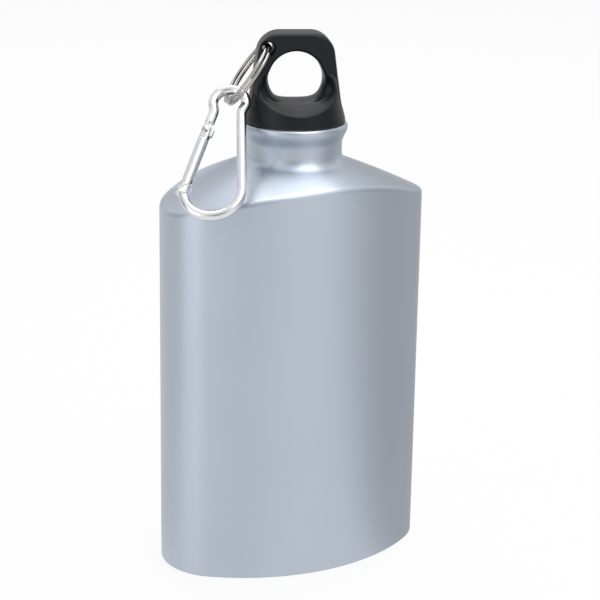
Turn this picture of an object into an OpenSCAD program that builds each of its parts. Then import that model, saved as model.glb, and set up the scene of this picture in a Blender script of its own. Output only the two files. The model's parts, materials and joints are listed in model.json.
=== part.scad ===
// Flat oval drinking bottle of drawn aluminium: screwed loop cap, split ring and clip-on carabiner.
// Millimetres, +Z up, origin at the middle of the base, wide faces towards -Y and +Y.

/* [Bottle] */
// Width of the oval body
body_w = 93; // [86:0.5:100]
// Depth of the oval body
body_d = 57; // [52:0.5:62]
// Radius of the oval's two ends
end_r = 20; // [17:0.5:23]
// Thickness of the drawn aluminium wall
wall = 0.9; // [0.6:0.1:1.4]
// Thickness of the base
base_t = 1.4; // [1:0.1:2.5]
// Depth of the dish pressed into the base
base_dish = 0.8; // [0.4:0.1:2]
// Width of the rim that the bottle stands on
foot_w = 4; // [2.5:0.5:8]
// Height of the shoulder over the oval's ends
shoulder_h = 124.2; // [110:0.2:140]
// Rise of the shoulder from the oval's ends to the neck
shoulder_rise = 13.4; // [10:0.2:20]
// Radius of the shoulder's dome, seen from the side
dome_r = 340; // [140:5:500]

/* [Neck] */
// Outer diameter of the neck
neck_d = 31.7; // [29:0.1:35]
// Height of the neck above the shoulder
neck_h = 12.1; // [10:0.1:15]
// Thickness of the neck's wall
neck_wall = 0.8; // [0.6:0.1:1.2]
// Radius of the rolled bead round the mouth
bead_r = 4.5; // [3.8:0.1:5.5]
// How far the bead stands out from the neck
bead_out = 1.75; // [1.2:0.05:2.2]
// Distance from the bead's widest line up to the rim
bead_top = 2.7; // [2:0.1:3.2]

/* [Thread] */
// Rise of the cap in one turn
lead = 3.5; // [2.5:0.1:5]
// Turns of thread in mesh when the cap is shut
thread_turns = 2; // [1.5:0.25:2.5]
// Depth of the thread ridges
thread_depth = 1; // [0.7:0.05:1.3]
// Free space between a ridge and the groove it runs in
thread_gap = 0.45; // [0.3:0.05:0.6]
// Width of a ridge at its crest
crest_w = 0.8; // [0.5:0.1:1.2]
// Width of a ridge at its root
root_w = 1.6; // [1.2:0.1:2]
// Thinnest wall of the threaded ring in the neck
insert_wall = 1.2; // [0.9:0.1:2]
// How far the threaded ring reaches below the neck
insert_drop = 1.4; // [0.8:0.1:2]
// Plain stretch at the lower end of the threads
thread_inset = 0.4; // [0.2:0.1:0.6]

/* [Cap] */
// Turn of the loop against the bottle's wide face, with the cap shut
cap_rest_turn = -21; // [-40:0.1:40]
// Radius of the cap's foot
cap_foot_r = 16.9; // [16:0.1:19]
// Radius at the top of the foot's flare
cap_waist_r = 15.1; // [14.6:0.1:15.6]
// Height of that flare
cap_flare_h = 6.8; // [6:0.1:8]
// Height of the cap from foot to top
cap_h = 29.4; // [26:0.1:34]
// Half of the loop's width at the top of the flare
loop_low_x = 14.8; // [14.4:0.1:15.2]
// Half of the loop's width where its upper corners start
loop_top_x = 12.6; // [12.2:0.1:13.2]
// Radius of the loop's upper corners
loop_corner_r = 6.5; // [5:0.1:7]
// Thickness of the loop
loop_t = 10.6; // [8:0.2:12]
// Radius of the finger hole
finger_r = 9.3; // [8:0.1:9.6]
// Height of the finger hole's centre above the foot
finger_h = 13.7; // [12.5:0.1:14.5]
// Height of the finger hole's flat floor above the foot
finger_floor = 6.2; // [5.5:0.1:8]
// Height of the round body in front of and behind the loop, above the foot
round_h = 17.5; // [15:0.1:19]
// Radius of the scoop's floor, in front of and behind the loop
scoop_r = 17.5; // [16:0.1:19]
// Width of the scoop between its upright sides
scoop_w = 25.6; // [24:0.2:26]
// Height of the scoop's lowest line above the foot
scoop_floor = 3.4; // [3.2:0.1:4.5]
// Radius between the scoop and the loop's face
scoop_fillet = 1; // [0.6:0.1:2]
// Distance of the ring hole from the loop's middle
eye_out = 9.2; // [8.8:0.1:9.3]
// Distance of the ring hole below the cap's top
eye_drop = 5; // [4.8:0.1:6.4]
// Radius of the ring hole
eye_r = 1.85; // [1.75:0.05:1.95]
// Radius of the sink round the ring hole
eye_sink_r = 2.35; // [2.3:0.05:2.5]
// Depth of that sink
eye_sink_t = 1.6; // [1.4:0.1:1.8]

/* [Plug and seal] */
// Thickness of the plug's tube
plug_wall = 2; // [1.4:0.1:3]
// Length of the spigot that holds the plug in the cap
spigot_h = 1.2; // [0.8:0.1:1.3]
// Thickness of the plug's closed end
roof_t = 1.5; // [1.2:0.1:2]
// Thickness of the sealing ring
gasket_t = 1.5; // [1:0.1:2.2]
// Radial thickness of the skirt round the sealing ring
skirt_t = 1.1; // [0.8:0.1:1.6]

/* [Split ring] */
// Outer diameter of the ring
ring_d = 24; // [23.5:0.1:25]
// Width of the wire, across the ring
wire_w = 1.6; // [1.3:0.1:1.7]
// Thickness of the wire, along the ring's axis
wire_t = 0.95; // [0.8:0.05:1]
// Free space between the ring's two turns
turn_gap = 0.45; // [0.42:0.01:0.5]
// Angle over which the wire steps from one turn to the next
step_angle = 36; // [24:2:60]
// Angle between each end of the wire and the step
end_space = 6; // [4:1:10]
// Bevel along the wire's edges
wire_edge = 0.2; // [0.1:0.05:0.3]
// Lean of the ring from the vertical as it hangs
ring_lean = 35; // [33:0.5:40]

/* [Carabiner] */
// Length over all
clip_l = 52.5; // [46:0.5:60]
// Diameter of the rod
rod_d = 3.2; // [2.8:0.1:4]
// Radius of the head, at the middle of the rod
head_r = 5.3; // [4.8:0.1:6.5]
// Radius of the tail, at the middle of the rod
tail_r = 9.2; // [8:0.1:11]
// Radius of the waist below the head, at the middle of the rod
waist_r = 6; // [4:0.5:8]
// Taper of each side from tail to waist
taper = 8.9; // [6:0.1:11]
// Lean of the clip from the vertical, tail outwards
clip_lean = 48; // [47:0.5:52]
// Turn of the clip against the loop
clip_turn = -15.5; // [-22:0.1:-10]
// Angle along the ring from its lowest point forward to where the carabiner is linked
link_turn = 17; // [14:0.5:20]
// Distance of the rod's middle inside the ring's wire, where the two are linked
link_gap = 3.8; // [3.7:0.05:4.4]
// Distance of the rod's middle from the ring's plane, where the two are linked
link_side = 1.5; // [1.4:0.05:1.7]

/* [Gate] */
// Diameter of the gate's tube
gate_d = 3.6; // [3.3:0.1:4.4]
// Length of the gate below its rivet
gate_l = 21.5; // [18:0.1:24]
// Depth of the rivet below the rod's middle in the head, along the clip
rivet_drop = 17.1; // [16.5:0.1:18.5]
// Diameter of the rivet
rivet_d = 1.6; // [1.3:0.1:1.8]
// Diameter of the rivet's heads
rivet_head_d = 2.4; // [2.1:0.1:2.8]
// Thickness of the rivet's heads
rivet_head_t = 0.45; // [0.3:0.05:0.6]
// Thickness of the gate's fork over its flats
fork_t = 2.9; // [2.6:0.1:3.1]
// How far the fork reaches above the rivet
ear_top = 1.5; // [1.3:0.1:1.8]
// Thickness of the rod's flattened tang
tang_t = 1.5; // [1.2:0.1:1.6]
// How far the tang reaches below the rivet
tang_foot = 2; // [1.7:0.1:2.3]
// How far the tang reaches behind the rivet, away from the clip's inside
tang_back = 1.5; // [1.3:0.1:1.7]
// How far the tang reaches before the rivet, towards the clip's inside
tang_toe = 2.4; // [2:0.1:2.8]
// Height of the collar that the gate shuts on
nose_h = 3.4; // [2.5:0.1:4.5]
// Diameter of that collar
nose_d = 4.8; // [4.2:0.1:5.4]
// Thickness of the collar's tongue
tongue_t = 1.2; // [0.9:0.1:1.4]
// Width of that tongue
tongue_w = 2.2; // [1.8:0.1:2.6]
// Height of that tongue
tongue_h = 2; // [1.5:0.1:2.5]
// Length of the plunger between tang and spring
plunger_l = 5; // [4:0.5:6]
// Diameter of the bore that holds the gate's spring
spring_bore = 2.2; // [2:0.1:2.3]
// Depth of that bore below the rivet
spring_depth = 14; // [13.5:0.1:15]
// Diameter of the spring's wire
spring_wire = 0.36; // [0.3:0.02:0.4]
// Number of curls in the spring
spring_curls = 7; // [5:1:8]

/* [Clearances] */
// Between pieces that are pressed or crimped together
press_gap = 0.1; // [0.02:0.02:0.15]
// Between round pieces that turn or slide in each other
run_gap = 0.05; // [0.02:0.01:0.1]
// Between pieces that move past each other
move_gap = 0.3; // [0.2:0.05:0.4]
// Between the flat sides of the gate and the tang or tongue in its slots
slot_gap = 0.2; // [0.15:0.05:0.3]
// Between the spring and the wall of its bore
spring_gap = 0.16; // [0.12:0.02:0.2]

/* [Hidden] */
$fn = 96;
eps = 0.01;
bite = 0.3;

// Bottle: the oval's side arcs run tangent into its end arcs
half_w = body_w / 2;
half_d = body_d / 2;
side_r = (pow(half_w - end_r, 2) + half_d * half_d - end_r * end_r) / (2 * (half_d - end_r));
side_x = (half_w - end_r) * side_r / (side_r - end_r);
floor_z = base_dish + base_t;

// Shoulder: an arc from the oval's ends up to the foot of the neck, turned about the axis
neck_r = neck_d / 2;
neck_sink = 3.2;
neck_z = shoulder_h + shoulder_rise;
dome_run = half_w - neck_r;
dome_chord = norm([dome_run, shoulder_rise]);
dome_deep = sqrt(dome_r * dome_r - dome_chord * dome_chord / 4);
dome_c = [
    (half_w + neck_r) / 2 - shoulder_rise / dome_chord * dome_deep,
    (shoulder_h + neck_z) / 2 - dome_run / dome_chord * dome_deep
];

// Mouth
rim_z = neck_z + neck_h;
bore_r = neck_r - neck_wall;
bead_c = [neck_r + bead_out - bead_r, rim_z - bead_top];

// Thread: the ring in the neck and the plug of the cap
insert_r = bore_r - press_gap;
female_root_r = insert_r - insert_wall;
female_crest_r = female_root_r - thread_depth;
male_crest_r = female_root_r - thread_gap;
male_root_r = female_crest_r - thread_gap;
insert_low = neck_z - insert_drop;
thread_z = insert_low + root_w / 2 + thread_inset;
ridge_sink = 0.4;
ridge_steps = 36;

// Cap: heights are measured from its foot, which stands clear of the bead
foot_z = rim_z + move_gap;
cap_top = foot_z + cap_h;
finger_z = foot_z + finger_h;
eye_z = cap_top - eye_drop;
foot_edge = 0.6;
corner_proud = 0.02;
corner_z = cap_top - loop_corner_r;
side_slope = atan((loop_low_x - loop_top_x) / (cap_h - loop_corner_r - cap_flare_h));
corner_x = loop_top_x - loop_corner_r / cos(side_slope);
gasket_low = rim_z + run_gap;
seat_z = gasket_low + gasket_t + run_gap;
gasket_r = cap_foot_r - skirt_t - press_gap;
plug_low = insert_low + thread_inset;
plug_bore_r = male_root_r - plug_wall;
spigot_r = plug_bore_r + plug_wall / 2;
plug_roof = seat_z + spigot_h - roof_t;

// Split ring: two turns of flat wire joined by one step
ring_r = (ring_d - wire_w) / 2;
turn_pitch = wire_t + turn_gap;
eye_half = loop_t / 2 - eye_sink_t;
ring_sag = ring_r - sqrt(ring_r * ring_r - eye_half * eye_half);
ring_hang = ring_r - ring_sag / 2;
wire_steps = 40;

// Carabiner, in its own flat frame: origin in the rod at the head's top, X across, Y up
rod_r = rod_d / 2;
rod_sides = 18;
bend_step = 8;
nose_turn = 4;
head_c = [0, -head_r];
tail_c = [0, -(clip_l - rod_d - tail_r)];
side_c = tail_r + tail_c[1] * sin(taper);
waist_turn = taper - acos((side_c + waist_r + head_r * sin(taper)) / (head_r + waist_r));
waist_c = head_c + (head_r + waist_r) * [cos(waist_turn), sin(waist_turn)];
rivet_p = [-(side_c + rivet_drop * sin(taper)) / cos(taper), -rivet_drop];

// Gate, in a frame with its origin on the rivet and Y along the tube towards the head
gate_r = gate_d / 2;
ear_flat = fork_t / 2;
tang_top = norm([ear_top, gate_r]) + move_gap + slot_gap;
tang_slot = norm([tang_foot, tang_toe]) + move_gap + slot_gap;
nose_y = -gate_l - move_gap;
plunger_tip = tang_foot + run_gap;
spring_high = -plunger_tip - plunger_l - run_gap;
spring_low = -spring_depth;
spring_r = spring_bore / 2 - spring_gap - spring_wire / 2;
curl_steps = 8;

// Points and faces of a tube swept through rings of points, closed at both ends
function tube_faces(rings, sides) = concat(
    [for (i = [0 : rings - 2], j = [0 : sides - 1]) each [
        [i * sides + j, i * sides + (j + 1) % sides, (i + 1) * sides + j],
        [i * sides + (j + 1) % sides, (i + 1) * sides + (j + 1) % sides, (i + 1) * sides + j]
    ]],
    [for (j = [1 : sides - 2]) [0, j + 1, j]],
    [for (j = [1 : sides - 2], last = (rings - 1) * sides) [last, last + j, last + j + 1]]
);

// Point at a radius, an angle and a height
function polar(r, a, z) = [r * cos(a), r * sin(a), z];

// A point turned about the vertical
function turned(p, a) = [p[0] * cos(a) - p[1] * sin(a), p[0] * sin(a) + p[1] * cos(a), p[2]];

// A direction in the carabiner's own frame, seen in the cap's frame
function leaned(p) = turned([
    p[0],
    p[1] * sin(clip_lean) - p[2] * cos(clip_lean),
    p[1] * cos(clip_lean) + p[2] * sin(clip_lean)
], clip_turn);

// The body's oval, drawn in by a distance all round
module oval(inset = 0) {
    intersection() {
        translate([0, half_d - side_r]) circle(side_r - inset);
        translate([0, side_r - half_d]) circle(side_r - inset);
        square([2 * side_x * (side_r - inset) / side_r, body_d], center = true);
    }
    for (side = [-1, 1])
        translate([side * (half_w - end_r), 0]) circle(end_r - inset);
}

// Half section of the shoulder's dome, drawn in by a distance
module dome_section(inset = 0) {
    intersection() {
        translate(dome_c) circle(dome_r - inset, $fn = 360);
        square([body_w, rim_z]);
    }
}

// Half section of the neck and its bead, drawn in by the wall on the inside
module bead_section(inset = 0) {
    intersection() {
        translate(bead_c) circle(bead_r - inset);
        square([body_w, rim_z - inset]);
    }
}

// One drawn piece: oval wall, domed shoulder, neck and the bead rolled round the mouth
module bottle_shell() {
    color("lightsteelblue") difference() {
        union() {
            intersection() {
                linear_extrude(rim_z) oval();
                rotate_extrude() dome_section();
            }
            rotate_extrude() {
                translate([0, neck_z - neck_sink]) square([neck_r, neck_h + neck_sink]);
                bead_section();
            }
        }
        intersection() {
            translate([0, 0, floor_z]) linear_extrude(rim_z) oval(wall);
            rotate_extrude() dome_section(wall);
        }
        translate([0, 0, neck_z - 2 * neck_sink]) cylinder(r = bore_r, h = rim_z);
        rotate_extrude() bead_section(neck_wall);
        translate([0, 0, -eps]) linear_extrude(base_dish + eps) oval(foot_w);
    }
}

// One ridge of thread, from its sunk root to its crest
module ridge(root_r, crest_r, low) {
    steps = ridge_steps * thread_turns;
    rings = [for (i = [0 : steps]) let (a = 360 * i / ridge_steps, z = low + lead * i / ridge_steps) [
        polar(root_r, a, z - root_w / 2),
        polar(crest_r, a, z - crest_w / 2),
        polar(crest_r, a, z + crest_w / 2),
        polar(root_r, a, z + root_w / 2)
    ]];
    flip = root_r > crest_r;
    faces = tube_faces(steps + 1, 4);
    polyhedron([for (r = rings) each r], flip ? [for (f = faces) [f[0], f[2], f[1]]] : faces);
}

// Moulded ring crimped into the neck under the bead, threaded inside
module neck_thread_ring() {
    color("whitesmoke") {
        rotate_extrude() difference() {
            union() {
                translate([0, insert_low]) square([insert_r, rim_z - insert_low]);
                bead_section(neck_wall + press_gap);
            }
            translate([0, insert_low - eps]) square([female_root_r, rim_z]);
        }
        ridge(female_root_r + ridge_sink, female_crest_r, thread_z);
    }
}

// Soft ring squeezed between the cap and the rim
module cap_gasket() {
    color("gainsboro") translate([0, 0, gasket_low]) difference() {
        cylinder(r = gasket_r, h = gasket_t);
        translate([0, 0, -eps]) cylinder(r = male_root_r + press_gap, h = gasket_t + 2 * eps);
    }
}

// Hollow threaded plug, pressed into the cap by its spigot
module cap_plug() {
    color("dimgray") {
        rotate_extrude() difference() {
            union() {
                translate([0, plug_low]) square([male_root_r, seat_z - run_gap - plug_low]);
                square([spigot_r, seat_z + spigot_h]);
            }
            translate([0, -eps]) square([plug_bore_r, plug_roof + eps]);
            translate([0, -eps]) square([body_w, plug_low + eps]);
        }
        ridge(male_root_r - ridge_sink, male_crest_r, thread_z + lead / 2);
    }
}

// Half section of the cap's round body, from its foot up
module foot_section() {
    polygon([
        [0, foot_z],
        [cap_foot_r, foot_z],
        [cap_foot_r, foot_z + foot_edge],
        [cap_waist_r, foot_z + cap_flare_h],
        [cap_waist_r - (round_h - cap_flare_h) * tan(side_slope), foot_z + round_h],
        [0, foot_z + round_h]
    ]);
}

// Outline of the loop, seen from the front
module loop_outline() {
    tangent = loop_corner_r * [cos(side_slope), sin(side_slope)];
    low_x = loop_low_x + (cap_flare_h - foot_edge) * tan(side_slope);
    for (side = [0, 1])
        mirror([side, 0]) {
            polygon([
                [-eps, foot_z + foot_edge],
                [low_x, foot_z + foot_edge],
                [corner_x + tangent[0], corner_z + tangent[1]],
                [corner_x, corner_z],
                [corner_x, cap_top],
                [-eps, cap_top]
            ]);
            translate([corner_x, corner_z]) circle(loop_corner_r + corner_proud);
        }
}

// Round cutter with upright sides that scoops out the cap on one side of the loop
module scoop() {
    intersection() {
        translate([0, 0, foot_z + scoop_floor + scoop_r]) rotate([90, 0, 0])
            translate([0, 0, loop_t / 2]) rotate_extrude() {
                translate([0, -bite]) square([scoop_r - scoop_fillet, cap_foot_r]);
                translate([0, scoop_fillet - bite]) square([scoop_r, cap_foot_r]);
                translate([scoop_r - scoop_fillet, scoop_fillet - bite]) circle(scoop_fillet);
            }
        translate([-scoop_w / 2, -2 * cap_foot_r, foot_z]) cube([scoop_w, 2 * cap_foot_r, cap_h]);
    }
}

// Moulded cap with its finger loop, ring hole, socket for the plug and seat for the gasket
module loop_cap() {
    color("#26272a") rotate([0, 0, cap_rest_turn]) difference() {
        union() {
            difference() {
                rotate_extrude() foot_section();
                for (side = [0, 180])
                    rotate([0, 0, side]) scoop();
            }
            rotate([90, 0, 0]) linear_extrude(loop_t, center = true) loop_outline();
        }
        translate([0, 0, finger_z]) rotate([90, 0, 0]) intersection() {
            cylinder(r = finger_r, h = 2 * cap_foot_r, center = true);
            translate([-finger_r, finger_floor - finger_h, -cap_foot_r])
                cube([2 * finger_r, 2 * finger_r, 2 * cap_foot_r]);
        }
        translate([-eye_out, 0, eye_z]) rotate([90, 0, 0]) {
            cylinder(r = eye_r, h = 2 * loop_t, center = true);
            for (side = [0, 180])
                rotate([side, 0, 0]) translate([0, 0, eye_half]) cylinder(r = eye_sink_r, h = loop_t);
        }
        translate([0, 0, foot_z - eps]) cylinder(r = gasket_r + press_gap, h = seat_z - foot_z + eps);
        translate([0, 0, foot_z]) cylinder(r = spigot_r + run_gap, h = seat_z - foot_z + spigot_h + run_gap);
    }
}

// Half-height of the wire's middle along its two turns
function wire_rise(a) =
    let (s = min(1, max(0, (a - 360 + step_angle / 2) / step_angle)))
    turn_pitch * (s * s * (3 - 2 * s) - 0.5);

// Split ring's wire: angles along its two turns, counted from the step, and its bevelled shape
wire_from = step_angle / 2 + end_space;
wire_to = 720 - wire_from;
wire_count = round((wire_to - wire_from) / 360 * wire_steps);
wire_angles = [for (i = [0 : wire_count]) wire_from + (wire_to - wire_from) * i / wire_count];
wire_shape = [
    for (q = [[-1, -1], [1, -1], [1, 1], [-1, 1]]) each let (
        flat = [q[0] * wire_w / 2 - q[0] * wire_edge, q[1] * wire_t / 2],
        side = [q[0] * wire_w / 2, q[1] * wire_t / 2 - q[1] * wire_edge]
    ) q[0] * q[1] > 0 ? [side, flat] : [flat, side]
];
wire_sides = len(wire_shape);
wire_points = [
    for (a = wire_angles, q = wire_shape) polar(ring_r + q[0], a, wire_rise(a) + q[1])
];

// Least space between the two turns, measured between points that are half a turn or more apart
wire_gap = min([
    for (i = [0 : 2 : wire_count], k = [0 : 2 : wire_count])
        if (wire_angles[k] - wire_angles[i] > 180)
            norm(polar(ring_r, wire_angles[i], wire_rise(wire_angles[i]))
                - polar(ring_r, wire_angles[k], wire_rise(wire_angles[k]))) - wire_t
]);
echo(least_gap_between_ring_turns = wire_gap);

// Moves its children into the cap's frame, at the ring hole
module at_eye() {
    rotate([0, 0, cap_rest_turn]) translate([-eye_out, 0, eye_z]) children();
}

// Sprung steel ring of two turns, through the hole in the loop
module split_ring() {
    color("silver") at_eye()
        rotate([0, ring_lean, 0]) translate([0, 0, -ring_hang])
            rotate([0, 90, 0]) rotate([0, 0, 90])
                polyhedron(wire_points, tube_faces(wire_count + 1, wire_sides));
}

// Place of the carabiner's origin, from the ring hole
hang_way = [-sin(ring_lean), 0, -cos(ring_lean)];
link_way = cos(link_turn) * hang_way - [0, sin(link_turn), 0];
wire_p = ring_hang * hang_way + ring_r * link_way;
wire_way = [0, cos(link_turn), 0] + sin(link_turn) * hang_way;
link_p = wire_p - link_gap * link_way + link_side * [-cos(ring_lean), 0, sin(ring_lean)];

// Moves its children from the carabiner's flat frame to where it hangs
module at_clip() {
    at_eye() translate(link_p) rotate([90 - clip_lean, 0, clip_turn]) children();
}

// Moves its children from the gate's frame to where the carabiner hangs
module at_gate() {
    at_clip() translate(rivet_p) rotate([0, 0, -taper]) children();
}

// Points along a bend of the rod, from one angle to another
function bend(centre, r, from, to) =
    let (count = ceil(abs(to - from) / bend_step))
    [for (i = [0 : count]) let (a = from + (to - from) * i / count) centre + r * [cos(a), sin(a)]];

// Points in the other half of the carabiner, in the opposite order
function mirrored(path) = [for (i = [len(path) - 1 : -1 : 0]) [-path[i][0], path[i][1]]];

// Middle line of the rod, from the tang over the head and down the spine to the collar
waist = bend(waist_c, waist_r, 180 + waist_turn, 180 + taper);
rod_path = concat(
    [rivet_p + tang_top * [sin(taper), cos(taper)]],
    mirrored(waist),
    bend(head_c, head_r, 180 - waist_turn - bend_step, waist_turn + bend_step),
    waist,
    bend(tail_c, tail_r, taper, nose_turn - 180 - taper)
);
rod_count = len(rod_path);
rod_points = [
    for (i = [0 : rod_count - 1]) let (
        run = rod_path[min(i + 1, rod_count - 1)] - rod_path[max(i - 1, 0)],
        across = [run[1], -run[0], 0] / norm(run)
    ) for (k = [0 : rod_sides - 1]) let (a = 360 * k / rod_sides)
        [rod_path[i][0], rod_path[i][1], 0] + rod_r * (cos(a) * across + [0, 0, sin(a)])
];

// Bent aluminium rod with a flat tang for the gate's rivet and a collar for the gate's end
module carabiner_frame() {
    color("lightgray") {
        at_clip() polyhedron(rod_points, tube_faces(rod_count, rod_sides));
        at_gate() {
            difference() {
                translate([-tang_back, -tang_foot, -tang_t / 2])
                    cube([tang_back + tang_toe, tang_foot + tang_top + rod_r / 2, tang_t]);
                cylinder(d = rivet_d + 2 * run_gap, h = 2 * tang_t, center = true);
                translate([tang_toe, tang_top, 0]) rotate([0, 0, 45])
                    cube([tang_toe, 2 * tang_top, 2 * tang_t], center = true);
            }
            translate([0, nose_y, 0]) rotate([90, 0, 0]) cylinder(d = nose_d, h = nose_h);
            translate([-tongue_w / 2, nose_y - eps, -tongue_t / 2]) cube([tongue_w, tongue_h + eps, tongue_t]);
        }
    }
}

// Gate of drilled rod: forked over the tang, slotted over the tongue, bored for its spring
module carabiner_gate() {
    tang_cut = tang_t + 2 * slot_gap;
    tongue_cut = tongue_t + 2 * slot_gap;
    tongue_slot = tongue_h + move_gap;
    color("silver") at_gate() difference() {
        translate([0, ear_top, 0]) rotate([90, 0, 0]) cylinder(d = gate_d, h = ear_top + gate_l);
        translate([-gate_d, -tang_slot, -tang_cut / 2]) cube([2 * gate_d, 2 * tang_slot, tang_cut]);
        translate([-gate_d, -gate_l - eps, -tongue_cut / 2]) cube([2 * gate_d, tongue_slot, tongue_cut]);
        for (side = [0, 180])
            rotate([0, side, 0]) translate([-gate_d, -tang_slot, ear_flat])
                cube([2 * gate_d, 2 * tang_slot, gate_d]);
        cylinder(d = rivet_d + run_gap, h = 2 * gate_d, center = true);
        rotate([90, 0, 0]) cylinder(d = spring_bore, h = -spring_low + run_gap);
    }
}

// Headed rivet that the gate turns on
module gate_rivet() {
    color("gainsboro") at_gate() {
        cylinder(d = rivet_d, h = 2 * (ear_flat + run_gap), center = true);
        for (side = [0, 180])
            rotate([0, side, 0]) translate([0, 0, ear_flat + run_gap])
                cylinder(d = rivet_head_d, h = rivet_head_t);
    }
}

// Pin that the spring pushes against the foot of the tang
module gate_plunger() {
    color("darkgray") at_gate() translate([0, -plunger_tip, 0]) rotate([90, 0, 0])
        cylinder(d = spring_bore - 2 * run_gap, h = plunger_l);
}

// Middle line of the spring, with a straight run at each end along the wire
curl_count = spring_curls * curl_steps;
curl_pitch = (spring_high - spring_low - spring_wire) / spring_curls;
curl_mid = [for (i = [0 : curl_count]) polar(spring_r, 360 * i / curl_steps, curl_pitch * i / curl_steps)];
curl_tilt = atan(curl_pitch / (2 * PI * spring_r));
curl_points = [
    for (i = [0 : curl_count], k = [0 : 5]) let (
        a = 360 * i / curl_steps,
        out = spring_wire / 2 * cos(60 * k),
        up = spring_wire / 2 * sin(60 * k)
    ) curl_mid[i] + out * [cos(a), sin(a), 0]
        + up * [sin(a) * sin(curl_tilt), -cos(a) * sin(curl_tilt), cos(curl_tilt)]
];

// Least space between curls, measured between points half a curl or more apart
curl_gap = min([
    for (i = [0 : curl_count], k = [0 : curl_count])
        if (k - i > curl_steps / 2) norm(curl_mid[i] - curl_mid[k]) - spring_wire
]);
echo(least_gap_between_spring_curls = curl_gap);

// Coil spring in the gate's bore
module gate_spring() {
    color("slategray") at_gate() translate([0, spring_low + spring_wire / 2, 0]) rotate([-90, 0, 0])
        polyhedron(curl_points, tube_faces(curl_count + 1, 6));
}

// Joint axes and points for the record, in the bottle's frame
eye_p = turned([-eye_out, 0, eye_z], cap_rest_turn);
clip_p = eye_p + turned(link_p, cap_rest_turn);
clip_x = turned(leaned([1, 0, 0]), cap_rest_turn);
clip_z = turned(leaned([0, 0, 1]), cap_rest_turn);
gate_p = clip_p + turned(leaned([rivet_p[0], rivet_p[1], 0]), cap_rest_turn);
gate_y = turned(leaned([sin(taper), cos(taper), 0]), cap_rest_turn);
echo(eye_p = eye_p, eye_axis = turned([0, 1, 0], cap_rest_turn));
echo(wire_p = eye_p + turned(wire_p, cap_rest_turn), wire_axis = turned(wire_way, cap_rest_turn));
echo(clip_p = clip_p, clip_x = clip_x, clip_z = clip_z);
echo(gate_p = gate_p, gate_y = gate_y, gate_axis = clip_z);
echo(tail_p = clip_p + turned(leaned([0, tail_c[1] - tail_r, 0]), cap_rest_turn));

bottle_shell();
neck_thread_ring();
cap_gasket();
cap_plug();
loop_cap();
split_ring();
carabiner_frame();
carabiner_gate();
gate_rivet();
gate_plunger();
gate_spring();
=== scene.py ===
import json
import math

import bmesh
import bpy
import numpy as np
from mathutils import Matrix, Vector


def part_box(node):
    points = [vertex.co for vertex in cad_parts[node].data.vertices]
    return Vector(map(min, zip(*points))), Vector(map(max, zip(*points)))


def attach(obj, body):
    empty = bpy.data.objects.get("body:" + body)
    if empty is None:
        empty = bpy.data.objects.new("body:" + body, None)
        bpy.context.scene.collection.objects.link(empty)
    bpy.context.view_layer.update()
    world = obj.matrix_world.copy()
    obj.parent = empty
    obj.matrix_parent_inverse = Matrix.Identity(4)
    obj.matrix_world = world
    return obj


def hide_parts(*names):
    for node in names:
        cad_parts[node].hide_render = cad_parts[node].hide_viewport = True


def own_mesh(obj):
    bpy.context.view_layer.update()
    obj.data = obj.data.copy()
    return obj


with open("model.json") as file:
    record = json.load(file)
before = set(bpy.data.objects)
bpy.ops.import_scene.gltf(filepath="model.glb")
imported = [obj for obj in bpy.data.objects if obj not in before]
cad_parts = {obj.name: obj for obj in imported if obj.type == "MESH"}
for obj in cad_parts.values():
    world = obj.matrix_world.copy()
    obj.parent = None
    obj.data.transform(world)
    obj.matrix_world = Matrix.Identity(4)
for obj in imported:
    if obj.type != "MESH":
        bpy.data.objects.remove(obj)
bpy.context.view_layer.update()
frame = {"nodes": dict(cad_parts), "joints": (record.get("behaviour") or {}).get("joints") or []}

# Bottle: one drawn and necked aluminium can. Its wall is a flat oval, its shoulder a shallow dome
# that is blended into the wall and the neck, and the mouth's edge is rolled out to a round bead.
# The outside is brushed round the body and left as satin metal.
mm = 0.001
shell_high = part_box("bottle_shell")[1]
half_width = shell_high.x
half_depth = shell_high.y
rim_height = shell_high.z
wall = 0.9 * mm
end_radius = 20 * mm
side_radius = (((half_width - end_radius) ** 2 + half_depth ** 2 - end_radius ** 2)
               / (2 * (half_depth - end_radius)))
shoulder_height = 124.2 * mm
shoulder_rise = 13.4 * mm
dome_radius = 340 * mm
shoulder_blend = 2.4 * mm
neck_radius = 15.85 * mm
neck_wall = 0.8 * mm
neck_blend_end = 2.8 * mm
neck_blend_front = 4.8 * mm
bead_out = 1.75 * mm
bead_foot = 6.5 * mm
bead_crown = 1.35 * mm
bead_turn = 0.9 * mm
bead_lead = 0.6 * mm
bead_thinning = 0.2 * mm
rim_flat = 0.3 * mm
rim_corner = 0.2 * mm
base_edge = 0.9 * mm
base_dish = 0.8 * mm
base_thickness = 1.4 * mm
foot_width = 4 * mm
inner_fold = 1.5 * mm
inner_middle = 40 * mm
columns = 288
fine_columns = 8001
edge_rows, wall_rows, blend_rows, dome_rows, fillet_rows, bead_rows, roll_rows = 7, 14, 11, 22, 9, 14, 9
# The base's underside: inset from the wall in millimetres, and share of the dish's height.
dish_profile = ((12, 1), (foot_width / mm + 1, 1), (foot_width / mm + 0.5, 0.9), (foot_width / mm, 0.55),
                (foot_width / mm - 0.4, 0.15), (foot_width / mm - 0.9, 0))
# The corner inside: inset from the wall and lift from the floor, in millimetres.
inner_corner = ((0.3, 0.7), (1, 0.15), (2, 0), (14, 0))


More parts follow.
